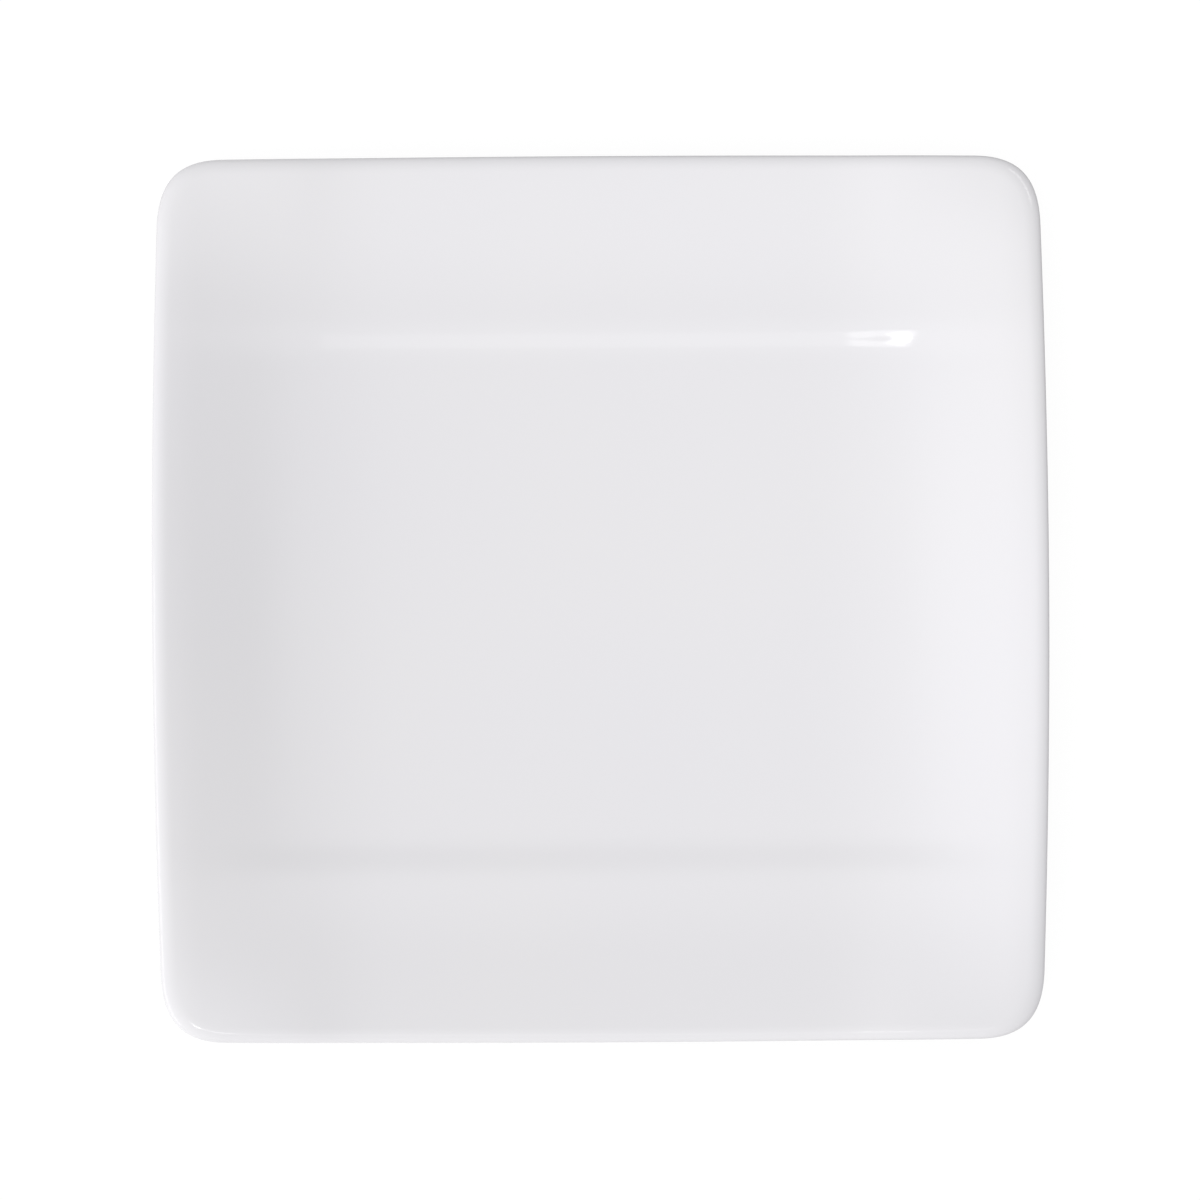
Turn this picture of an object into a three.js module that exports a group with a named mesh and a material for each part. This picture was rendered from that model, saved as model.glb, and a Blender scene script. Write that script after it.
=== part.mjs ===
// Salad plate: a rounded-square porcelain plate on a foot ring, under a white glaze.
// Millimetres, +Z up. The foot stands on z = 0 with the middle of the well over the origin.
// The left and right sides sweep up as arched wings. The near and far sides are lower lands,
// each parted from the floor by a short straight step that dies out on the wings.
import * as THREE from 'three';
import { mergeVertices } from 'three/addons/utils/BufferGeometryUtils.js';

const { clamp, degToRad, lerp, smoothstep } = THREE.MathUtils;

// Silhouette from above
const PLATE_WIDTH = 210; // left lip to right lip, across the middle
const PLATE_DEPTH = 208.2; // near lip to far lip, across the middle
const WING_EDGE_BOW = 1.8; // the left and right edges draw in by this at their ends
const LAND_EDGE_BOW = 0.65; // the near and far edges draw in by this at their ends
const CORNER_REACH = 16.5; // length of edge that a rounded corner takes up
const CORNER_FULLNESS = 0.65; // pull of the corner curve towards the square corner

// Floor, and the trough that it and both lands turn up into on the left and right
const FLOOR_HEIGHT = 7; // glazed floor over the table
const FLOOR_CORNER = 10; // corner radius of the flat floor
const TROUGH_SPAN = 58.8; // left or right lip to the flat floor
const TROUGH_BLEND = 42; // run over which the floor turns up
const TROUGH_ANGLE = degToRad(15.2); // slope that it turns up to

// Wings, steeper than the trough and highest halfway along
const WING_SPAN = 36.5; // left or right lip to the foot of the wing
const WING_BLEND = 16.4; // run over which the trough turns up into the wing
const WING_ANGLE = degToRad(25); // slope halfway along the wing
const WING_EASE = 103; // length of wing, from either end, over which it steepens

// Steps and lands
const LAND_SPAN = 47.4; // near or far lip to the flat floor
const STEP_RISE = 1.6; // a land lies this much over the floor
const STEP_RUN = 8.6; // width of the step in plan
const STEP_FADE = 36; // run up the wing over which the step dies out
const LAND_ANGLE = degToRad(10.6); // slope that a land turns up to
const LAND_BLEND = 20; // run over which it turns up

// Corners fall away outwards
const CORNER_RUN = 40; // distance in from both edges at which the fall begins
const CORNER_FALL = 10; // fall at the crossing of the two edges

// Lip, with the face rolling off towards it
const ROLL_RUN = 12; // width of the roll
const WING_ROLL = degToRad(15); // slope that the roll takes off a wing
const LAND_ROLL = degToRad(1.5); // slope that the roll takes off a land
const WALL = 4.1; // wall at the wings and lands, glaze to glaze
const LIP_WIDTH = 3.6; // rounding of the lip, seen from above
const LIP_CORNER_REACH = 13.5; // length of edge that a corner takes up where the rounding starts

// Foot ring and base
const FLOOR_WALL = 4.5; // floor to base, glaze to glaze
const FOOT_SETBACK = 43.5; // lip to the outside of the foot's bearing face
const FOOT_CORNER = 18; // corner radius of the foot's bearing face
const FOOT_BEARING = 3; // width of the bearing face
const FOOT_ROUND = 1.1; // rounding at both edges of the bearing face
const FOOT_FLARE = 2.4; // run of the curve from the foot into the underside and base

// Glaze
const GLAZE = 0.25; // thickness of the coat
const GLAZE_LINE = 1.1; // the coat stops at this height, so the foot stands on bare porcelain

// Points round a quarter of every ring
const EDGE_POINTS = 6;
const CORNER_POINTS = 6;

const HALF_WIDTH = PLATE_WIDTH / 2;
const HALF_DEPTH = PLATE_DEPTH / 2;
const CIRCLE = 0.5523; // pull that makes a corner curve a round one

// A ring from above: four bowed edges and four corner curves, starting on +X and turning towards +Y
function ring(halfX, halfY, reach, fullness = CIRCLE, bowX = 0, bowY = 0) {
  const edgeX = (y) => halfX - bowX * (y / halfY) ** 2;
  const edgeY = (x) => halfY - bowY * (x / halfX) ** 2;
  const endY = halfY - reach;
  const endX = halfX - reach;
  const leanX = (-2 * bowX * endY) / halfY ** 2;
  const leanY = (-2 * bowY * endX) / halfX ** 2;
  const pull = fullness * reach;
  const corner = new THREE.CubicBezierCurve(
    new THREE.Vector2(edgeX(endY), endY),
    new THREE.Vector2(edgeX(endY) + leanX * pull, endY + pull),
    new THREE.Vector2(endX + pull, edgeY(endX) + leanY * pull),
    new THREE.Vector2(endX, edgeY(endX)),
  );
  const quarter = [];
  for (let i = 0; i < EDGE_POINTS; i += 1) {
    const y = (endY * i) / EDGE_POINTS;
    quarter.push(new THREE.Vector2(edgeX(y), y));
  }
  for (let i = 0; i < CORNER_POINTS; i += 1) quarter.push(corner.getPoint(i / CORNER_POINTS));
  for (let i = EDGE_POINTS; i > 0; i -= 1) {
    const x = (endX * i) / EDGE_POINTS;
    quarter.push(new THREE.Vector2(x, edgeY(x)));
  }
  const top = new THREE.Vector2(0, halfY);
  const far = quarter.slice(1).reverse();
  const half = [...quarter, top, ...far.map((p) => new THREE.Vector2(-p.x, p.y))];
  return [...half, ...half.map((p) => new THREE.Vector2(-p.x, -p.y))];
}

// Height gained over a distance by a slope that builds up softly over a run and then holds
function sweep(distance, run, slope) {
  const s = clamp(distance / run, 0, 1);
  const building = run * (s ** 3 - s ** 4 / 2);
  return slope * (building + Math.max(distance - run, 0));
}

// Share of a corner's fall, by the distance in from one edge
function fallShare(fromEdge) {
  const t = Math.max(1 - fromEdge / CORNER_RUN, 0);
  return (t * t * (3 - t)) / 2;
}

// Height of the porcelain face under its glaze
function faceHeight(x, y) {
  const fromSide = HALF_WIDTH - Math.abs(x);
  const fromEnd = HALF_DEPTH - Math.abs(y);
  const upWing = WING_SPAN - fromSide;
  const upLand = LAND_SPAN - fromEnd;
  const trough = sweep(TROUGH_SPAN - fromSide, TROUGH_BLEND, Math.tan(TROUGH_ANGLE));
  const steepening = Math.tan(WING_ANGLE) - Math.tan(TROUGH_ANGLE);
  const wing = sweep(upWing, WING_BLEND, steepening) * smoothstep(fromEnd, 0, WING_EASE);
  const step = STEP_RISE * smoothstep(upLand, 0, STEP_RUN) * (1 - smoothstep(upWing, 0, STEP_FADE));
  const land = sweep(upLand - STEP_RUN, LAND_BLEND, Math.tan(LAND_ANGLE));
  const fall = CORNER_FALL * fallShare(fromSide) * fallShare(fromEnd);
  const wingRoll = sweep(ROLL_RUN - fromSide, ROLL_RUN, Math.tan(WING_ROLL));
  const landRoll = sweep(ROLL_RUN - fromEnd, ROLL_RUN, Math.tan(LAND_ROLL));
  return FLOOR_HEIGHT - GLAZE + trough + wing + step + land - fall - wingRoll - landRoll;
}

// Slope of the face along a direction in plan
function faceSlope(p, direction) {
  const h = 0.05;
  const ahead = faceHeight(p.x + direction.x * h, p.y + direction.y * h);
  const behind = faceHeight(p.x - direction.x * h, p.y - direction.y * h);
  return (ahead - behind) / (2 * h);
}

const BODY_WALL = WALL - 2 * GLAZE;
const ALONG_X = new THREE.Vector2(1, 0);
const ALONG_Y = new THREE.Vector2(0, 1);

// Height of the porcelain underside, one wall below the face
function underHeight(x, y) {
  const p = new THREE.Vector2(x, y);
  const steepness = Math.hypot(1, faceSlope(p, ALONG_X), faceSlope(p, ALONG_Y));
  return faceHeight(x, y) - BODY_WALL * steepness;
}

const onFace = (p) => new THREE.Vector3(p.x, p.y, faceHeight(p.x, p.y));
const onUnderside = (p) => new THREE.Vector3(p.x, p.y, underHeight(p.x, p.y));
const between = (a, b, t) => a.map((p, i) => p.clone().lerp(b[i], t));
const shares = (count) => Array.from({ length: count }, (_, i) => (i + 1) / count);

// Face, from the flat floor over the step and up to where the lip begins
const floorRing = ring(HALF_WIDTH - TROUGH_SPAN, HALF_DEPTH - LAND_SPAN, FLOOR_CORNER);
const rimRing = ring(HALF_WIDTH - LIP_WIDTH, HALF_DEPTH - LIP_WIDTH, LIP_CORNER_REACH,
  CORNER_FULLNESS, WING_EDGE_BOW, LAND_EDGE_BOW);
const stepShare = STEP_RUN / (LAND_SPAN - LIP_WIDTH);
const faceShares = [
  0,
  ...shares(4).map((t) => t * stepShare),
  ...shares(7).map((t) => lerp(stepShare, 1, t)),
];
const face = faceShares.map((t) => between(floorRing, rimRing, t).map(onFace));

// Lip, the half-elliptical end of a wall that leans with the face
const edgeRing = ring(HALF_WIDTH - GLAZE, HALF_DEPTH - GLAZE, CORNER_REACH, CORNER_FULLNESS,
  WING_EDGE_BOW, LAND_EDGE_BOW);

function lipPoint(rim, edge, share) {
  const outward = edge.clone().sub(rim);
  const reach = outward.length();
  outward.normalize();
  const lean = Math.atan(faceSlope(rim, outward));
  const half = BODY_WALL / 2;
  const tuck = half * Math.sin(lean);
  const long = Math.sqrt((reach - tuck) ** 2 - tuck ** 2) / Math.cos(lean);
  const brow = -Math.atan2(tuck, long * Math.cos(lean)); // turn of the outermost point
  const over = lerp(Math.PI / 2, brow, Math.min(2 * share, 1));
  const under = (brow + Math.PI / 2) * Math.max(2 * share - 1, 0);
  const along = long * Math.cos(over - under);
  const across = half * Math.sin(over - under);
  const out = tuck + along * Math.cos(lean) - across * Math.sin(lean);
  const up = along * Math.sin(lean) + across * Math.cos(lean) - half * Math.cos(lean);
  const plan = rim.clone().addScaledVector(outward, out);
  return new THREE.Vector3(plan.x, plan.y, faceHeight(rim.x, rim.y) + up);
}

const lip = shares(6).map((share) => rimRing.map((p, i) => lipPoint(p, edgeRing[i], share)));

// Foot ring, from the underside round the bearing face and up to the base
function footRing(outset) {
  const halfX = HALF_WIDTH - FOOT_SETBACK + outset;
  const halfY = HALF_DEPTH - FOOT_SETBACK + outset;
  return ring(halfX, halfY, FOOT_CORNER + outset);
}

const quarterTurns = (count) => shares(count).map((t) => (t * Math.PI) / 2);
const bodyBase = FLOOR_HEIGHT - FLOOR_WALL + GLAZE;
const rootRing = footRing(FOOT_ROUND + FOOT_FLARE);
const footOutside = quarterTurns(3).map((a) => {
  const plan = footRing(FOOT_ROUND + FOOT_FLARE * (1 - Math.sin(a)));
  return plan.map((p, i) => {
    const root = underHeight(rootRing[i].x, rootRing[i].y);
    return new THREE.Vector3(p.x, p.y, lerp(GLAZE_LINE, root, Math.cos(a)));
  });
});
const level = (plan, z) => plan.map((p) => new THREE.Vector3(p.x, p.y, z));
const bearing = [
  ...quarterTurns(2).map((a) => level(footRing(FOOT_ROUND * Math.cos(a)), GLAZE_LINE * (1 - Math.sin(a)))),
  level(footRing(-FOOT_BEARING), 0),
  ...quarterTurns(2).map((a) =>
    level(footRing(-FOOT_BEARING - FOOT_ROUND * Math.sin(a)), GLAZE_LINE * (1 - Math.cos(a)))),
];
const footInside = quarterTurns(3).map((a) => {
  const plan = footRing(-FOOT_BEARING - FOOT_ROUND - FOOT_FLARE * (1 - Math.cos(a)));
  return level(plan, lerp(GLAZE_LINE, bodyBase, Math.sin(a)));
});

// Underside, from the lip in to the foot ring
const lipEnd = lip[lip.length - 1].map((p) => new THREE.Vector2(p.x, p.y));
const underside = shares(5).map((t) => between(lipEnd, rootRing, t).map(onUnderside));

// Glaze rings lie one coat off the porcelain, square to its surface
function coat(rings, first, last) {
  const count = rings[0].length;
  const middle = (k) => {
    const z = rings[k][0].z;
    return rings[k].map(() => new THREE.Vector3(0, 0, z));
  };
  return rings.slice(first, last + 1).map((points, n) => {
    const k = first + n;
    const inner = k === 0 ? middle(k) : rings[k - 1];
    const outer = k === rings.length - 1 ? middle(k) : rings[k + 1];
    return points.map((p, i) => {
      const round = points[(i + 1) % count].clone().sub(points[(i + count - 1) % count]);
      const across = outer[i].clone().sub(inner[i]);
      return p.clone().addScaledVector(across.cross(round).normalize(), GLAZE);
    });
  });
}

// Triangles between neighbouring rings, each four-sided patch split along the same diagonal
function skin(rings) {
  const facets = [];
  for (let k = 1; k < rings.length; k += 1) {
    const a = rings[k - 1];
    const b = rings[k];
    a.forEach((p, i) => {
      const j = (i + 1) % a.length;
      facets.push([p, b[i], b[j]], [p, b[j], a[j]]);
    });
  }
  return facets;
}

// Flat sheet that closes a level ring at its middle, facing up
function sheet(points) {
  const middle = new THREE.Vector3(0, 0, points[0].z);
  return points.map((p, i) => [middle, p, points[(i + 1) % points.length]]);
}

const turned = (facets) => facets.map(([a, b, c]) => [a, c, b]);

function solid(name, facets, material) {
  const corners = facets.flat().flatMap((p) => p.toArray());
  const soup = new THREE.BufferGeometry();
  soup.setAttribute('position', new THREE.Float32BufferAttribute(corners, 3));
  const geometry = mergeVertices(soup);
  geometry.computeVertexNormals();
  const mesh = new THREE.Mesh(geometry, material);
  mesh.name = name;
  return mesh;
}

const porcelain = new THREE.MeshStandardMaterial({ color: 0xe3dfd8, roughness: 0.6, metalness: 0 });
const glaze = new THREE.MeshStandardMaterial({ color: 0xe8e7ea, roughness: 0.08, metalness: 0 });

// Porcelain body
const body = [...face, ...lip, ...underside, ...footOutside, ...bearing, ...footInside];
const bodySkin = [...sheet(body[0]), ...skin(body), ...turned(sheet(body[body.length - 1]))];

// Face glaze: floor, wings, lands and lip, then the underside down to the glaze line on the foot
const faceEnd = face.length + lip.length + underside.length + footOutside.length - 1;
const underFace = body.slice(0, faceEnd + 1);
const overFace = coat(body, 0, faceEnd);
const faceGlazeSkin = [
  ...sheet(overFace[0]),
  ...skin(overFace),
  ...skin([overFace[faceEnd], underFace[faceEnd]]),
  ...turned(skin(underFace)),
  ...turned(sheet(underFace[0])),
];

// Base glaze: from the glaze line inside the foot across the base
const baseStart = faceEnd + bearing.length;
const underBase = body.slice(baseStart);
const overBase = coat(body, baseStart, body.length - 1);
const baseGlazeSkin = [
  ...skin([underBase[0], overBase[0]]),
  ...skin(overBase),
  ...turned(sheet(overBase[overBase.length - 1])),
  ...turned(skin(underBase)),
  ...sheet(underBase[underBase.length - 1]),
];

const plate = new THREE.Group();
plate.name = 'salad_plate';
plate.add(
  solid('porcelain_body', bodySkin, porcelain),
  solid('face_glaze', faceGlazeSkin, glaze),
  solid('base_glaze', baseGlazeSkin, glaze),
);

export default plate;
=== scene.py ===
# %% [markdown]
# # A square salad plate in white porcelain
# The plate is already built as three solids: the fired porcelain and two coats of glaze. The
# solids set every size, and this lesson gives them their looks: a surface fine enough for soft
# reflections, a wet white glaze, and the dry bare edge that the plate stands on.

# %% Load the solids as the fixed frame
import math

import bmesh
import bpy
import numpy as np
from mathutils import Matrix, Vector


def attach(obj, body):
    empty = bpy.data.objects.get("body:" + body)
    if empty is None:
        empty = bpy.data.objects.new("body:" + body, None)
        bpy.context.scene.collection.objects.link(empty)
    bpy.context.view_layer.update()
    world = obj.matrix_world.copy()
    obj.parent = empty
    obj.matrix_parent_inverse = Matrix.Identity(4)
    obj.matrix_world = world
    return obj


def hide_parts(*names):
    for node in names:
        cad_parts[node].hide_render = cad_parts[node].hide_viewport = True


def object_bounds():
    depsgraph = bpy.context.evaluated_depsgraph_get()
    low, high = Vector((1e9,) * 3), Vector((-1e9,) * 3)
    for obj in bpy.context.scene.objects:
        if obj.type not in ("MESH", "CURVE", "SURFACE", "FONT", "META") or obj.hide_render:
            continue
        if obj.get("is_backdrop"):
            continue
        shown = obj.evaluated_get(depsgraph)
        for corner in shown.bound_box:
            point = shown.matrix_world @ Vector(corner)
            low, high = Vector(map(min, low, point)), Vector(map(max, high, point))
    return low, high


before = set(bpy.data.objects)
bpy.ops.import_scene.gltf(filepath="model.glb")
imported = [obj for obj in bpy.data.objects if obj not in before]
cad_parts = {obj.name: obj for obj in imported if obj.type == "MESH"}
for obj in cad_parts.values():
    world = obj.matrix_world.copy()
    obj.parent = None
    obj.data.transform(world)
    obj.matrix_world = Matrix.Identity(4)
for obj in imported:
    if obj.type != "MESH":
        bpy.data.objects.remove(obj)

cad_low, cad_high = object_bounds()
print("solids:", sorted(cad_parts), "from", cad_low[:], "to", cad_high[:])

# %% [markdown]
# ## Rings seen from above
# Every line round the plate, from the lip in to the foot, is a rounded rectangle, and its sides
# may bow out a little. A bevelled square would only give round corners, and the lip's corners
# are squarer than that, so a ring is written as four bowed edges joined by Bezier curves. Points
# with the same number line up from ring to ring, and such a number is called a station here.

# %% Stations of one ring
MM = 0.001
HALF_WIDTH = (cad_high.x - cad_low.x) / 2
HALF_DEPTH = (cad_high.y - cad_low.y) / 2
EDGE_CELLS = 50  # cells from the middle of an edge to the start of its corner
CORNER_CELLS = 32
SIDE_CELLS = 2 * EDGE_CELLS + CORNER_CELLS
ROUND = 0.5523  # pull that makes a Bezier corner a round one


def ring(half_x, half_y, reach, pull=ROUND, bow_x=0.0, bow_y=0.0):
    """Stations of a rounded rectangle, from the middle of its right edge turning left."""
    end = np.array([half_x - reach, half_y - reach])
    along_y = np.linspace(0, end[1], EDGE_CELLS + 1)
    along_x = np.linspace(end[0], 0, EDGE_CELLS + 1)
    right = np.column_stack([half_x - bow_x * (along_y / half_y) ** 2, along_y])
    far = np.column_stack([along_x, half_y - bow_y * (along_x / half_x) ** 2])
    lean_x = -2 * bow_x * end[1] / half_y**2
    lean_y = -2 * bow_y * end[0] / half_x**2
    start_pull = right[-1] + pull * reach * np.array([lean_x, 1])
    end_pull = far[0] + pull * reach * np.array([1, lean_y])
    t = np.linspace(0, 1, CORNER_CELLS + 1)[:-1, None]
    corner = (
        (1 - t) ** 3 * right[-1]
        + 3 * (1 - t) ** 2 * t * start_pull
        + 3 * (1 - t) * t**2 * end_pull
        + t**3 * far[0]
    )
    quarter = np.vstack([right[:-1], corner, far])
    half = np.vstack([quarter, quarter[-2:0:-1] * [-1, 1]])
    return np.vstack([half, -half])


print("stations in a ring:", 4 * SIDE_CELLS)

# %% [markdown]
# ## The face
# The floor is flat. To the left and right it turns up gently, then more steeply, into two wings
# that are highest halfway along. The near and far sides stay low: a short straight step lifts
# them off the floor, and it dies out where the wings begin. The corners fall away again, and the
# face rolls over towards the lip. Sculpting could not keep such a step straight, so the height
# is a formula of place, as a sum of soft slopes.

# %% Height of the porcelain face
GLAZE = 0.25 * MM
FLOOR_HEIGHT = 7 * MM
TROUGH_SPAN, TROUGH_BLEND, TROUGH_ANGLE = 58.8 * MM, 42 * MM, math.radians(15.2)
WING_SPAN, WING_BLEND, WING_ANGLE = 36.5 * MM, 16.4 * MM, math.radians(25)
WING_EASE = 103 * MM
LAND_SPAN, LAND_BLEND, LAND_ANGLE = 47.4 * MM, 20 * MM, math.radians(10.6)
STEP_RISE, STEP_RUN, STEP_FADE = 1.6 * MM, 8.6 * MM, 36 * MM
CORNER_RUN, CORNER_FALL = 40 * MM, 8 * MM
ROLL_RUN, WING_ROLL, LAND_ROLL = 12 * MM, math.radians(15), math.radians(1.5)
SLOPE_STEP = 0.05 * MM  # half of the short run that a slope is measured over


def sweep(distance, run, slope):
    """Height gained by a slope that builds up softly over a run and then holds."""
    s = np.clip(distance / run, 0, 1)
    return slope * (run * (s**3 - s**4 / 2) + np.maximum(distance - run, 0))


def ease(distance, run):
    """Soft share of a run, from 0 to 1."""
    s = np.clip(distance / run, 0, 1)
    return s * s * (3 - 2 * s)


def fall_share(from_edge):
    """Share of the corner's fall at a distance from an edge, from 1 down to 0."""
    t = np.maximum(1 - from_edge / CORNER_RUN, 0)
    return t * t * (3 - t) / 2


def face_height(plan):
    """Height of the porcelain under its glaze, at points seen from above."""
    from_side = HALF_WIDTH - np.abs(plan[..., 0])
    from_end = HALF_DEPTH - np.abs(plan[..., 1])
    up_wing = WING_SPAN - from_side
    up_land = LAND_SPAN - from_end
    steepening = math.tan(WING_ANGLE) - math.tan(TROUGH_ANGLE)
    trough = sweep(TROUGH_SPAN - from_side, TROUGH_BLEND, math.tan(TROUGH_ANGLE))
    wing = sweep(up_wing, WING_BLEND, steepening) * ease(from_end, WING_EASE)
    step = STEP_RISE * ease(up_land, STEP_RUN) * (1 - ease(up_wing, STEP_FADE))
    land = sweep(up_land - STEP_RUN, LAND_BLEND, math.tan(LAND_ANGLE))
    fall = CORNER_FALL * fall_share(from_side) * fall_share(from_end)
    roll = sweep(ROLL_RUN - from_side, ROLL_RUN, math.tan(WING_ROLL))
    roll = roll + sweep(ROLL_RUN - from_end, ROLL_RUN, math.tan(LAND_ROLL))
    return FLOOR_HEIGHT - GLAZE + trough + wing + step + land - fall - roll


def face_slope(plan, direction):
    """Rise of the face for each metre along a direction, at points seen from above."""
    nudge = SLOPE_STEP * np.asarray(direction)
    return (face_height(plan + nudge) - face_height(plan - nudge)) / (2 * SLOPE_STEP)


middle_of_wing = face_height(np.array([HALF_WIDTH - ROLL_RUN, 0])) - FLOOR_HEIGHT + GLAZE
print("a wing rises", round(middle_of_wing / MM, 1), "mm before it rolls over")

# %% [markdown]
# ## From the lip round to the base
# The lip is the rounded end of the wall: half an ellipse that leans with the face, so the eye
# sees no line where the face ends. The underside follows the face one wall below it, and a foot
# ring under the floor lifts the plate off the table. All of it is one stack of rings, listed
# from the face outwards, under and in, as a potter's finger would follow the surface.

# %% Rings of the lip
WALL = 4.1 * MM
BODY_WALL = WALL - 2 * GLAZE
BOWS = {"bow_x": 1.8 * MM, "bow_y": 0.65 * MM}
LIP_WIDTH, LIP_CORNER = 3.6 * MM, 13.5 * MM
CORNER_REACH, CORNER_PULL = 16.5 * MM, 0.65
LIP_RINGS = 18
rim = ring(HALF_WIDTH - LIP_WIDTH, HALF_DEPTH - LIP_WIDTH, LIP_CORNER, CORNER_PULL, **BOWS)
edge = ring(HALF_WIDTH - GLAZE, HALF_DEPTH - GLAZE, CORNER_REACH, CORNER_PULL, **BOWS)


def lip_ring(share):
    """The lip from the face, at 0, over the outermost edge, at 0.5, to the underside, at 1."""
    outward = edge - rim
    reach = np.linalg.norm(outward, axis=1)
    outward = outward / reach[:, None]
    lean = np.arctan(face_slope(rim, outward))
    half = BODY_WALL / 2
    tuck = half * np.sin(lean)
    long = np.sqrt((reach - tuck) ** 2 - tuck**2) / np.cos(lean)
    brow = -np.arctan2(tuck, long * np.cos(lean))
    over = math.pi / 2 + (brow - math.pi / 2) * min(2 * share, 1)
    turn = over - (brow + math.pi / 2) * max(2 * share - 1, 0)
    along, across = long * np.cos(turn), half * np.sin(turn)
    out = tuck + along * np.cos(lean) - across * np.sin(lean)
    up = along * np.sin(lean) + (across - half) * np.cos(lean)
    return np.column_stack([rim + outward * out[:, None], face_height(rim) + up])


lip = [lip_ring((i + 1) / LIP_RINGS) for i in range(LIP_RINGS)]
print("widest half of the porcelain lip:", round(max(r[:, 0].max() for r in lip) / MM, 2), "mm")

# %% Rings of the underside and the foot
FLOOR_WALL = 4.5 * MM
FOOT_SETBACK, FOOT_CORNER, FOOT_BEARING = 43.5 * MM, 18 * MM, 3 * MM
FOOT_ROUND, FOOT_FLARE, GLAZE_LINE = 1.1 * MM, 2.4 * MM, 1.1 * MM
BASE_HEIGHT = FLOOR_HEIGHT - FLOOR_WALL + GLAZE
UNDERSIDE_RINGS, FLARE_RINGS, ROUND_RINGS = 20, 8, 5
MISFIT_EASE = 4  # power that fades out the misfit under the lip


def under_height(plan):
    """Height of the porcelain underside, one wall below the face."""
    slopes = np.hypot(face_slope(plan, (1, 0)), face_slope(plan, (0, 1)))
    return face_height(plan) - BODY_WALL * np.hypot(1, slopes)


def foot_ring(outset):
    """The outside of the foot's bearing face, moved outwards by an outset."""
    half_x, half_y = HALF_WIDTH - FOOT_SETBACK + outset, HALF_DEPTH - FOOT_SETBACK + outset
    return ring(half_x, half_y, FOOT_CORNER + outset)


def at_height(plan, height):
    """Points seen from above, lifted to one height or to a height each."""
    return np.column_stack([plan, np.broadcast_to(height, len(plan))])


def turns(count):
    """Angles of a quarter turn, without its start."""
    return [math.pi / 2 * (i + 1) / count for i in range(count)]


lip_end = lip[-1]
root = foot_ring(FOOT_ROUND + FOOT_FLARE)
misfit = lip_end[:, 2] - under_height(lip_end[:, :2])
underside = []
for i in range(UNDERSIDE_RINGS):
    t = (i + 1) / UNDERSIDE_RINGS
    plan = lip_end[:, :2] + (root - lip_end[:, :2]) * t
    underside.append(at_height(plan, under_height(plan) + misfit * (1 - t) ** MISFIT_EASE))
foot_outside = []
for a in turns(FLARE_RINGS):
    plan = foot_ring(FOOT_ROUND + FOOT_FLARE * (1 - math.sin(a)))
    height = GLAZE_LINE + (under_height(root) - GLAZE_LINE) * math.cos(a)
    foot_outside.append(at_height(plan, height))
bearing = []
for a in turns(ROUND_RINGS):
    plan = foot_ring(FOOT_ROUND * math.cos(a))
    bearing.append(at_height(plan, GLAZE_LINE * (1 - math.sin(a))))
bearing.append(at_height(foot_ring(-FOOT_BEARING), 0))
for a in turns(ROUND_RINGS):
    plan = foot_ring(-FOOT_BEARING - FOOT_ROUND * math.sin(a))
    bearing.append(at_height(plan, GLAZE_LINE * (1 - math.cos(a))))
foot_inside = []
for a in turns(FLARE_RINGS):
    plan = foot_ring(-FOOT_BEARING - FOOT_ROUND - FOOT_FLARE * (1 - math.cos(a)))
    foot_inside.append(at_height(plan, GLAZE_LINE + (BASE_HEIGHT - GLAZE_LINE) * math.sin(a)))
print("misfit under the lip:", round(float(np.abs(misfit).max()) / MM, 3), "mm, eased away inwards")

# %% [markdown]
# ## The porcelain body
# The face starts as a flat grid of square cells, because its lines then run along the steps.
# Moving the grid's border on to the rim and blending the inside between the four sides gives
# an even net. The border is then extruded ring by ring, over the lip, under the plate and round
# the foot, and a grid fill closes the base. Each border point keeps its station as a number
# that extruding copies, so every new ring finds its own places.

# %% A grid laid over the face
BODY_NAME = "plate_porcelain"


def face_net():
    """Points of the face, row by row from near left, blended between the four sides."""
    k = np.arange(SIDE_CELLS + 1)
    t = k / SIDE_CELLS
    corner = SIDE_CELLS // 2
    count = 4 * SIDE_CELLS
    right, far = rim[(k - corner) % count], rim[3 * corner - k]
    left, near = rim[5 * corner - k], rim[5 * corner + k]
    u, v = t[None, :, None], t[:, None, None]
    across = (1 - u) * left[:, None] + u * right[:, None]
    along = (1 - v) * near[None] + v * far[None]
    ends = (1 - v) * ((1 - u) * near[0] + u * near[-1]) + v * ((1 - u) * far[0] + u * far[-1])
    plan = (across + along - ends).reshape(-1, 2)
    return at_height(plan, face_height(plan))


bpy.ops.object.select_all(action="DESELECT")
bpy.ops.mesh.primitive_grid_add(x_subdivisions=SIDE_CELLS, y_subdivisions=SIDE_CELLS, size=2)
body = bpy.context.object
body.name = body.data.name = BODY_NAME
body.data.vertices.foreach_set("co", face_net().ravel())
body.data.update()
print("face net:", len(body.data.polygons), "cells")

# %% Extrude its border to the base
stations = body.data.attributes.new("station", "INT", "POINT")
border = {tuple(np.round(p / MM, 3)): i for i, p in enumerate(rim)}
for v in body.data.vertices:
    stations.data[v.index].value = border.get(tuple(np.round(np.array(v.co[:2]) / MM, 3)), 0)


def extrude_to(mesh, points):
    """Extrude the selected loop, and set each new point on its own station."""
    bpy.ops.mesh.extrude_edges_indiv()
    net = bmesh.from_edit_mesh(mesh)
    station = net.verts.layers.int["station"]
    for v in net.verts:
        if v.select:
            v.co = points[v[station]]
    bmesh.update_edit_mesh(mesh)


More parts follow.
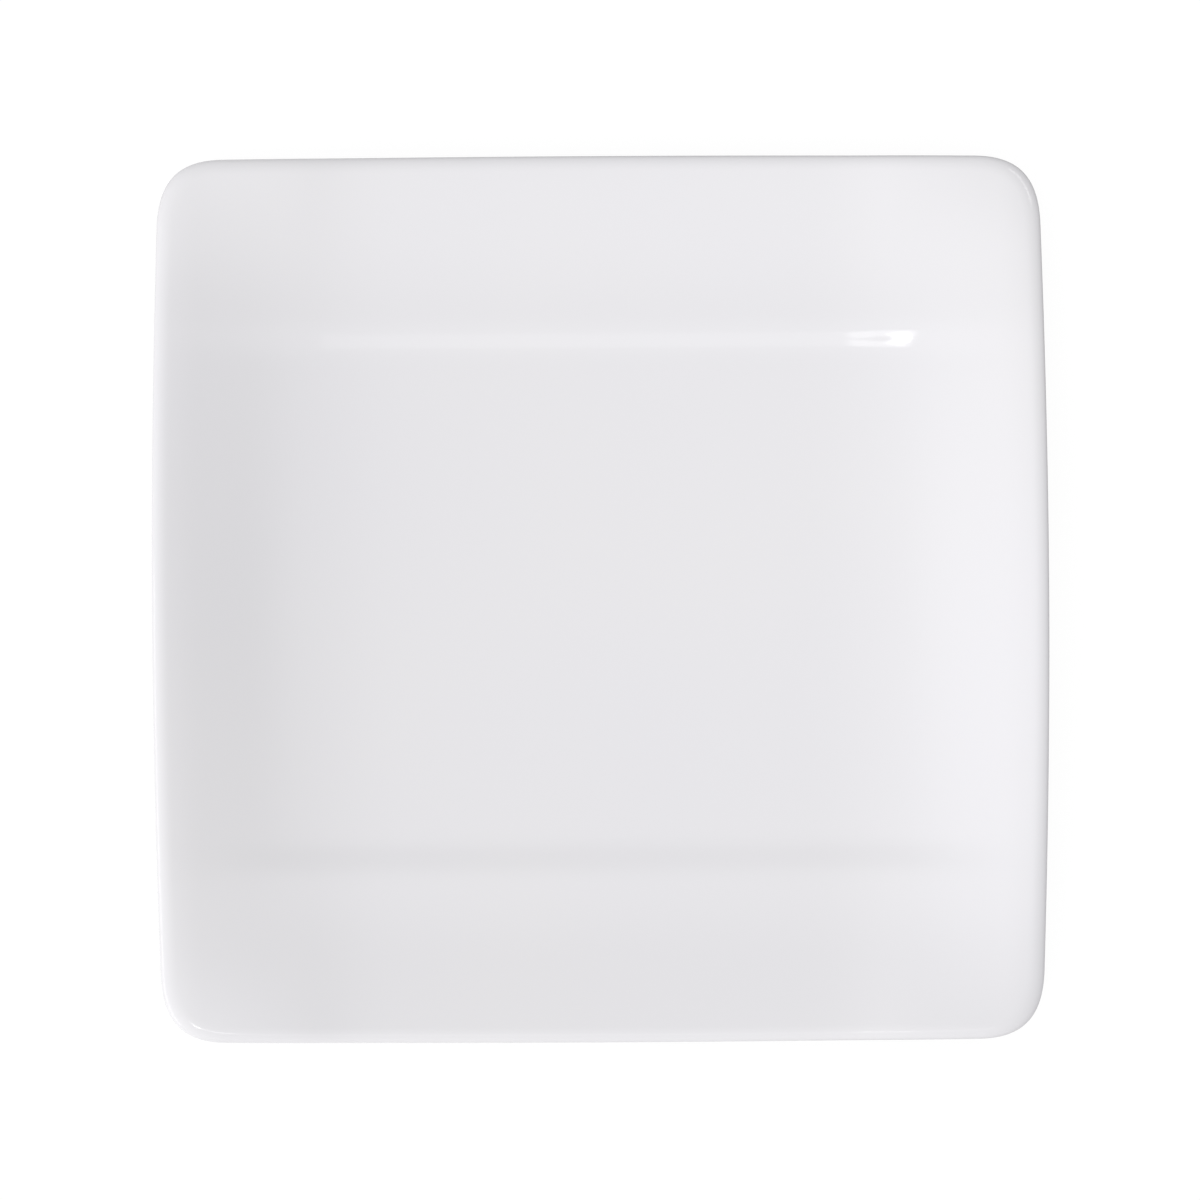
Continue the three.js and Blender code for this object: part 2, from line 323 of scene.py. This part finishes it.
bpy.ops.object.mode_set(mode="EDIT")
bpy.ops.mesh.select_mode(type="EDGE")
bpy.ops.mesh.select_all(action="SELECT")
bpy.ops.mesh.region_to_loop()
for points in [*lip, *underside, *foot_outside, *bearing, *foot_inside]:
    extrude_to(body.data, points)
bpy.ops.mesh.fill_grid(span=SIDE_CELLS)
bpy.ops.mesh.select_all(action="SELECT")
bpy.ops.mesh.normals_make_consistent(inside=False)
bpy.ops.object.mode_set(mode="OBJECT")
body.data.attributes.remove(body.data.attributes["station"])
bpy.ops.object.shade_smooth()
print(BODY_NAME, "has", len(body.data.polygons), "faces")

# %% [markdown]
# ## The two coats of glaze
# Glaze covers all of the porcelain but the edge that it stands on, which is wiped clean before
# firing so that the plate doesn't stick to the kiln shelf. A copy of the porcelain with that
# edge deleted falls into two loose skins, and a Solidify modifier grows each one outwards by
# the thickness of the coat. Its edge at the foot is then bevelled, as molten glaze rounds off.

# %% Peel two skins off the porcelain
bpy.ops.object.select_all(action="DESELECT")
body.select_set(True)
bpy.context.view_layer.objects.active = body
bpy.ops.object.duplicate()
skin = bpy.context.object
bpy.ops.object.mode_set(mode="EDIT")
bpy.ops.mesh.select_mode(type="FACE")
bpy.ops.mesh.select_all(action="DESELECT")
net = bmesh.from_edit_mesh(skin.data)
for f in net.faces:
    f.select = f.calc_center_median().z < GLAZE_LINE
bmesh.update_edit_mesh(skin.data)
bpy.ops.mesh.delete(type="FACE")
bpy.ops.mesh.select_all(action="SELECT")
bpy.ops.mesh.separate(type="LOOSE")
bpy.ops.object.mode_set(mode="OBJECT")
skins = sorted(bpy.context.selected_objects, key=lambda o: o.dimensions.x)
base_glaze, face_glaze = skins
face_glaze.name = face_glaze.data.name = "plate_face_glaze"
base_glaze.name = base_glaze.data.name = "plate_base_glaze"
print("skins:", [(o.name, len(o.data.polygons)) for o in skins])

# %% Grow them into coats
EDGE_ROUND, EDGE_STEPS = 0.12 * MM, 3
SHARP = math.radians(60)
ON_LINE = 0.6 * GLAZE  # an edge nearer than this to the glaze line lies on the porcelain


def grow_coat(skin, glaze_line):
    """Give a skin the thickness of the glaze, and round its outer edge at the foot."""
    bpy.ops.object.select_all(action="DESELECT")
    skin.select_set(True)
    bpy.context.view_layer.objects.active = skin
    coat = skin.modifiers.new("coat", "SOLIDIFY")
    coat.thickness, coat.offset = GLAZE, 1
    coat.use_even_offset = True
    bpy.ops.object.modifier_apply(modifier=coat.name)
    bpy.ops.object.mode_set(mode="EDIT")
    bpy.ops.mesh.select_mode(type="EDGE")
    bpy.ops.mesh.select_all(action="DESELECT")
    bpy.ops.mesh.edges_select_sharp(sharpness=SHARP)
    net = bmesh.from_edit_mesh(skin.data)
    for e in net.edges:
        if e.select:
            middle = np.array((e.verts[0].co + e.verts[1].co)[:2]) / 2
            e.select = bool(np.linalg.norm(glaze_line - middle, axis=1).min() > ON_LINE)
    bmesh.update_edit_mesh(skin.data)
    bpy.ops.mesh.bevel(offset=EDGE_ROUND, segments=EDGE_STEPS, affect="EDGES")
    bpy.ops.object.mode_set(mode="OBJECT")
    bpy.ops.object.shade_smooth()
    print(skin.name, "has", len(skin.data.polygons), "faces")


grow_coat(face_glaze, foot_ring(FOOT_ROUND))
grow_coat(base_glaze, foot_ring(-FOOT_BEARING - FOOT_ROUND))

# %% [markdown]
# ## Kiln mottle, an effect for both finishes
# Nothing fired is perfectly even: soft clouds of tone come from the flame, and a finer grain
# from the powder that the clay or the glaze was made of. Both finishes use these two patterns
# at their own sizes, so they are one node group with named sockets.

# %% Node group with clouds and grain
PATTERNS = [  # pattern, its size socket, the size in metres, and the noise's detail
    ("Clouds", "Cloud Size", 0.06, 1.5),
    ("Grain", "Grain Size", 0.004, 3.0),
]


def link(tree, source, target):
    """Join an output socket to an input socket."""
    tree.links.new(source, target)


mottle = bpy.data.node_groups.new("kiln_mottle", "ShaderNodeTree")
for _, name, size, _ in PATTERNS:
    socket = mottle.interface.new_socket(name, in_out="INPUT", socket_type="NodeSocketFloat")
    socket.default_value = size
for name, *_ in PATTERNS:
    mottle.interface.new_socket(name, in_out="OUTPUT", socket_type="NodeSocketFloat")
group_in = mottle.nodes.new("NodeGroupInput")
group_out = mottle.nodes.new("NodeGroupOutput")
place = mottle.nodes.new("ShaderNodeTexCoord")
for pattern, size_socket, _, detail in PATTERNS:
    scale = mottle.nodes.new("ShaderNodeMath")
    scale.operation = "DIVIDE"
    scale.inputs[0].default_value = 1
    noise = mottle.nodes.new("ShaderNodeTexNoise")
    noise.inputs["Detail"].default_value = detail
    link(mottle, group_in.outputs[size_socket], scale.inputs[1])
    link(mottle, scale.outputs[0], noise.inputs["Scale"])
    link(mottle, place.outputs["Object"], noise.inputs["Vector"])
    link(mottle, noise.outputs["Fac"], group_out.inputs[pattern])
print("group", mottle.name, "gives", [s.name for s in mottle.interface.items_tree])

# %% Helpers for a finish
NOISE_LOW, NOISE_HIGH = 0.3, 0.7  # range that most of a noise pattern lies in


def new_finish(name, cloud_size, grain_size):
    """A material with its shader, and the mottle at this finish's own sizes."""
    finish = bpy.data.materials.new(name)
    finish.use_nodes = True
    tree = finish.node_tree
    pattern = tree.nodes.new("ShaderNodeGroup")
    pattern.node_tree = mottle
    pattern.inputs["Cloud Size"].default_value = cloud_size
    pattern.inputs["Grain Size"].default_value = grain_size
    return finish, tree, tree.nodes["Principled BSDF"], pattern


def spread(tree, value, low, high):
    """The middle of a noise pattern spread from one value to another."""
    remap = tree.nodes.new("ShaderNodeMapRange")
    remap.inputs["From Min"].default_value = NOISE_LOW
    remap.inputs["From Max"].default_value = NOISE_HIGH
    remap.inputs["To Min"].default_value = low
    remap.inputs["To Max"].default_value = high
    link(tree, value, remap.inputs["Value"])
    return remap.outputs["Result"]


def blend_colours(tree, share, first, second):
    """A colour between two others, each a plain colour or a socket."""
    mix = tree.nodes.new("ShaderNodeMix")
    mix.data_type = "RGBA"
    link(tree, share, mix.inputs["Factor"])
    for socket, colour in (("A", first), ("B", second)):
        target = next(s for s in mix.inputs if s.name == socket and s.type == "RGBA")
        if isinstance(colour, bpy.types.NodeSocket):
            link(tree, colour, target)
        else:
            target.default_value = (*colour, 1)
    return next(s for s in mix.outputs if s.type == "RGBA")


def raise_grain(tree, height, depth):
    """A bump of a real depth, in metres."""
    bump = tree.nodes.new("ShaderNodeBump")
    bump.inputs["Strength"].default_value = 1
    bump.inputs["Distance"].default_value = depth
    link(tree, height, bump.inputs["Height"])
    return bump.outputs["Normal"]


# %% [markdown]
# ## White glaze
# The glaze is a thin layer of glass, white and a little cool. It mirrors lamps sharply, and its
# surface still swims by a few thousandths of a millimetre, as every melted surface does. Where
# the coat lies thicker it is a touch bluer. A clear coat over a matt white could show all this
# too, but one glossy white surface looks the same and is simpler.

# %% White glaze
GLAZE_THIN = (0.775, 0.767, 0.786)
GLAZE_THICK = (0.767, 0.760, 0.786)
GLAZE_ROUGHNESS = (0.05, 0.08)
GLAZE_SWIM = 0.008 * MM
GLAZE_IOR = 1.5
glaze, tree, shader, pattern = new_finish("white_glaze", cloud_size=0.07, grain_size=0.009)
clouds = spread(tree, pattern.outputs["Clouds"], 0, 1)
link(tree, blend_colours(tree, clouds, GLAZE_THIN, GLAZE_THICK), shader.inputs["Base Color"])
roughness = spread(tree, pattern.outputs["Clouds"], *GLAZE_ROUGHNESS)
link(tree, roughness, shader.inputs["Roughness"])
link(tree, raise_grain(tree, pattern.outputs["Grain"], GLAZE_SWIM), shader.inputs["Normal"])
shader.inputs["IOR"].default_value = GLAZE_IOR
for piece in (face_glaze, base_glaze):
    piece.data.materials.clear()
    piece.data.materials.append(glaze)
print("white glaze on", face_glaze.name, "and", base_glaze.name)

# %% [markdown]
# ## Bare porcelain
# Only the standing edge of the foot shows the fired clay. It is matt, warmer than the glaze and
# finely grained, and its lowest part has gone grey from being slid over shelves and plates. The
# grey could be painted by hand, but a mask by height finds the rubbed part by itself.

# %% Bare porcelain
CLAY_LIGHT = (0.76, 0.73, 0.69)
CLAY_DARK = (0.70, 0.67, 0.63)
RUB_GREY = (0.52, 0.51, 0.50)
CLAY_ROUGHNESS = (0.72, 0.5)
CLAY_GRAIN = 0.03 * MM
RUB_HEIGHT = 0.25 * MM
RUB_SHARE = (0.1, 0.8)  # least and most of the grey at the very bottom
clay, tree, shader, pattern = new_finish("bare_porcelain", cloud_size=0.012, grain_size=0.0004)
tone = spread(tree, pattern.outputs["Grain"], 0, 1)
clay_colour = blend_colours(tree, tone, CLAY_LIGHT, CLAY_DARK)
place = tree.nodes.new("ShaderNodeTexCoord")
split = tree.nodes.new("ShaderNodeSeparateXYZ")
link(tree, place.outputs["Object"], split.inputs["Vector"])
low = tree.nodes.new("ShaderNodeMapRange")
low.inputs["From Max"].default_value = RUB_HEIGHT
low.inputs["To Min"].default_value = 1
low.inputs["To Max"].default_value = 0
link(tree, split.outputs["Z"], low.inputs["Value"])
rub = tree.nodes.new("ShaderNodeMath")
rub.operation = "MULTIPLY"
link(tree, low.outputs["Result"], rub.inputs[0])
link(tree, spread(tree, pattern.outputs["Clouds"], *RUB_SHARE), rub.inputs[1])
clay_colour = blend_colours(tree, rub.outputs[0], clay_colour, RUB_GREY)
link(tree, clay_colour, shader.inputs["Base Color"])
roughness = spread(tree, pattern.outputs["Clouds"], *CLAY_ROUGHNESS)
link(tree, roughness, shader.inputs["Roughness"])
link(tree, raise_grain(tree, pattern.outputs["Grain"], CLAY_GRAIN), shader.inputs["Normal"])
body.data.materials.clear()
body.data.materials.append(clay)
print("bare porcelain on", body.name)

# %% [markdown]
# ## Table and backdrop
# The plate lies on a plain white table. A sheet lit by lamps alone would show grey where their
# light falls off, so most of the white that the camera sees is the table's own, and the rest is
# real light and shade, which keeps a soft shadow under the plate. What the table throws back
# is another matter: painted shade darkens its colour towards the far right, as bounced light and
# mirrors see it, so the lips there end in a dark line.

# %% White table
TABLE_SIZE = 40  # metres, so that no edge shows from low down
TABLE_DROP = 0.02 * MM  # keeps the sheet out of the plane that the foot stands on
# painted shade: the table's colour goes from white on the near left to grey on the far right, for
# bounced light and mirrors
TABLE_WHITE, TABLE_PAINTED_SHADE = 0.95, 0.3  # on the near left, and in the shade on the far right
TABLE_FADE = (0.8, 0.6, 0)  # direction in which the sheet falls into shade
OWN_WHITE = 0.9  # share of the table's colour, as seen, that no shadow touches
OWN_LIGHT = 1.03  # makes up for the light that the plate keeps off the table round it
MIRROR_WHITE = 0.15  # share of plain white that a mirror sees, over the room's own light


def seen_directly(tree, path):
    """1 for a ray from the camera or through glass, less from a mirror, 0 for bounced light."""
    mirrored = tree.nodes.new("ShaderNodeMath")
    mirrored.operation = "MULTIPLY"
    mirrored.inputs[1].default_value = MIRROR_WHITE
    link(tree, path.outputs["Is Glossy Ray"], mirrored.inputs[0])
    share = path.outputs["Is Camera Ray"]
    for ray in [path.outputs["Is Transmission Ray"], mirrored.outputs[0]]:
        either = tree.nodes.new("ShaderNodeMath")
        either.operation = "MAXIMUM"
        link(tree, share, either.inputs[0])
        link(tree, ray, either.inputs[1])
        share = either.outputs[0]
    return share


bpy.ops.mesh.primitive_plane_add(size=TABLE_SIZE, location=(0, 0, -TABLE_DROP))
table = bpy.context.object
table.name = "table"
table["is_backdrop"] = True
sheet = bpy.data.materials.new("white_table")
sheet.use_nodes = True
tree = sheet.node_tree
shader = tree.nodes["Principled BSDF"]
path = tree.nodes.new("ShaderNodeLightPath")
place = tree.nodes.new("ShaderNodeTexCoord")
fade = tree.nodes.new("ShaderNodeVectorMath")
fade.operation = "DOT_PRODUCT"
fade.inputs[1].default_value = TABLE_FADE
link(tree, place.outputs["Object"], fade.inputs[0])
# painted shade: the colour darkens along the fade, from white on the near left to grey on the far
# right
shade = tree.nodes.new("ShaderNodeMapRange")
shade.inputs["From Min"].default_value = -HALF_WIDTH
shade.inputs["From Max"].default_value = HALF_WIDTH
shade.inputs["To Min"].default_value = TABLE_WHITE
shade.inputs["To Max"].default_value = TABLE_PAINTED_SHADE
link(tree, fade.outputs["Value"], shade.inputs["Value"])
colour = tree.nodes.new("ShaderNodeMath")  # white all over to the camera
colour.operation = "MAXIMUM"
link(tree, shade.outputs["Result"], colour.inputs[0])
link(tree, path.outputs["Is Camera Ray"], colour.inputs[1])
link(tree, colour.outputs[0], shader.inputs["Base Color"])
shader.inputs["Roughness"].default_value = 1
shader.inputs["Specular IOR Level"].default_value = 0
own = tree.nodes.new("ShaderNodeEmission")
own.inputs["Strength"].default_value = OWN_LIGHT
share = tree.nodes.new("ShaderNodeMath")
share.operation = "MULTIPLY"
share.inputs[1].default_value = OWN_WHITE
link(tree, seen_directly(tree, path), share.inputs[0])
mix = tree.nodes.new("ShaderNodeMixShader")
link(tree, share.outputs[0], mix.inputs["Fac"])
link(tree, shader.outputs["BSDF"], mix.inputs[1])
link(tree, own.outputs["Emission"], mix.inputs[2])
link(tree, mix.outputs["Shader"], tree.nodes["Material Output"].inputs["Surface"])
table.data.materials.append(sheet)
print("table of", TABLE_SIZE, "m,", OWN_WHITE, "of its white its own")

# %% [markdown]
# ## Room
# Glossy white porcelain shows its form only by small differences of grey, so the light has to
# come from one side more than from another. A white room that is brighter on the left and near
# the viewer does that for the whole plate, with no lamp's edge in sight. The camera itself sees
# plain white behind the table.

# %% White room
ROOM_LIGHT = 0.873
ROOM_GRADE = (-0.425, -0.2485, 0)  # the room gets darker to the right and to the far side
world = bpy.data.worlds.new("white_room")
bpy.context.scene.world = world
world.use_nodes = True
tree = world.node_tree
background = tree.nodes["Background"]
background.inputs["Color"].default_value = (1, 1, 1, 1)
direction = tree.nodes.new("ShaderNodeTexCoord")
grade = tree.nodes.new("ShaderNodeVectorMath")
grade.operation = "DOT_PRODUCT"
grade.inputs[1].default_value = ROOM_GRADE
link(tree, direction.outputs["Generated"], grade.inputs[0])
light = tree.nodes.new("ShaderNodeMath")
light.operation = "ADD"
light.inputs[1].default_value = ROOM_LIGHT
link(tree, grade.outputs["Value"], light.inputs[0])
level = tree.nodes.new("ShaderNodeMapRange")
level.inputs["To Max"].default_value = 1
link(tree, seen_directly(tree, tree.nodes.new("ShaderNodeLightPath")), level.inputs["Value"])
link(tree, light.outputs[0], level.inputs["To Min"])
link(tree, level.outputs["Result"], background.inputs["Strength"])
print("room light", ROOM_LIGHT, "falling along", ROOM_GRADE)

# %% [markdown]
# ## Lamps
# Lamps add what the lip and the step mirror. The key, in front on the left, glints on the far
# step and round the near left corner. Its mirror image has a bright core under a dim wing, and
# one lamp has one brightness, so the key is two lamps. A broad dim softbox in front lights up the
# whole far step. A low one whitens the left lip, and a small one on the far right draws a light
# line round that corner. The fill over the right side lifts it a little, and mirrors don't see
# it, because its outline would show on the left wing.

# %% Softboxes
SOFTBOXES = {  # bearing, height and tilt in degrees, metres away, width, height, and watts
    "key_softbox": (62.4, 64.2, 15, 5, 1.36, 0.38, 3.2),
    "key_core": (56.8, 60.5, 0, 5, 0.42, 0.40, 4.2),
    "front_softbox": (91, 63.5, 0, 5, 1.75, 0.75, 2.1),
    "left_softbox": (20, 9.5, 0, 1.5, 1.2, 0.42, 3.0),
    "right_softbox": (219, 37, 0, 1.2, 0.55, 0.19, 0.75),
    "fill_softbox": (214, 67.6, 0, 0.38, 0.25, 0.25, 0.15),
}


def hang_softbox(name, bearing, height, tilt, distance, width, tall, watts):
    """A rectangular lamp aimed at the plate: bearing from the left edge towards the viewer."""
    side, up = math.radians(bearing), math.radians(height)
    toward = Vector((-math.cos(side) * math.cos(up), -math.sin(side) * math.cos(up), math.sin(up)))
    lamp = bpy.data.lights.new(name, "AREA")
    lamp.shape, lamp.size, lamp.size_y, lamp.energy = "RECTANGLE", width, tall, watts
    holder = bpy.data.objects.new(name, lamp)
    bpy.context.scene.collection.objects.link(holder)
    holder.location = toward * distance
    holder.rotation_euler = toward.to_track_quat("Z", "Y").to_euler()
    holder.rotation_euler.rotate_axis("Z", math.radians(tilt))
    holder.visible_camera = False
    print(name, watts, "W at", distance, "m")
    return holder


lamps = {name: hang_softbox(name, *place) for name, place in SOFTBOXES.items()}
lamps["fill_softbox"].visible_glossy = False

# %% [markdown]
# ## Camera
# The photograph looks straight down. A camera without perspective would nearly do, but a lens
# two metres up also shows the wings a little larger than the floor. The scale comes from the
# plate's width, and the plate lies a hair off the middle and a third of a degree turned, which
# the camera repeats.

# %% Camera over the plate
PHOTO_PIXELS = 1200
PLATE_PIXELS = 896.8  # width of the plate in the photograph
PLATE_AT = (600.6, 599.25)  # its middle there, counted from the top left
PLATE_TURN = math.radians(0.32)  # to the left, as seen
CAMERA_HEIGHT = 2.0
LIP_LEVEL = 18 * MM  # height of the wings' outermost edge
pixel = 2 * HALF_WIDTH / PLATE_PIXELS
camera_data = bpy.data.cameras.new("camera_overhead")
camera_data.lens = (
    camera_data.sensor_width * (CAMERA_HEIGHT - LIP_LEVEL) / (PHOTO_PIXELS * pixel)
)
camera = bpy.data.objects.new("camera_overhead", camera_data)
bpy.context.scene.collection.objects.link(camera)
turn = Matrix.Rotation(-PLATE_TURN, 3, "Z")
off = Vector((PHOTO_PIXELS / 2 - PLATE_AT[0], PLATE_AT[1] - PHOTO_PIXELS / 2, 0)) * pixel
camera.location = turn @ off + Vector((0, 0, CAMERA_HEIGHT))
camera.rotation_euler = turn.to_euler()
bpy.context.scene.camera = camera
bpy.context.scene.view_settings.view_transform = "Standard"
print("lens", round(camera_data.lens, 1), "mm at", CAMERA_HEIGHT, "m")

# %% [markdown]
# ## The new pieces take the solids' places
# Each new piece stands for one solid and moves with it. The box of the solids is printed at
# the start and the box of the finished plate here, so that a size changed by the looks would show.

# %% Ride, replace and print sizes
for piece, node, slot in [
    (body, "porcelain_body", "bare_porcelain"),
    (face_glaze, "face_glaze", "white_glaze"),
    (base_glaze, "base_glaze", "white_glaze"),
]:
    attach(piece, "root")
    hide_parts(node)
low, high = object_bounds()
print("finished plate from", low[:], "to", high[:])
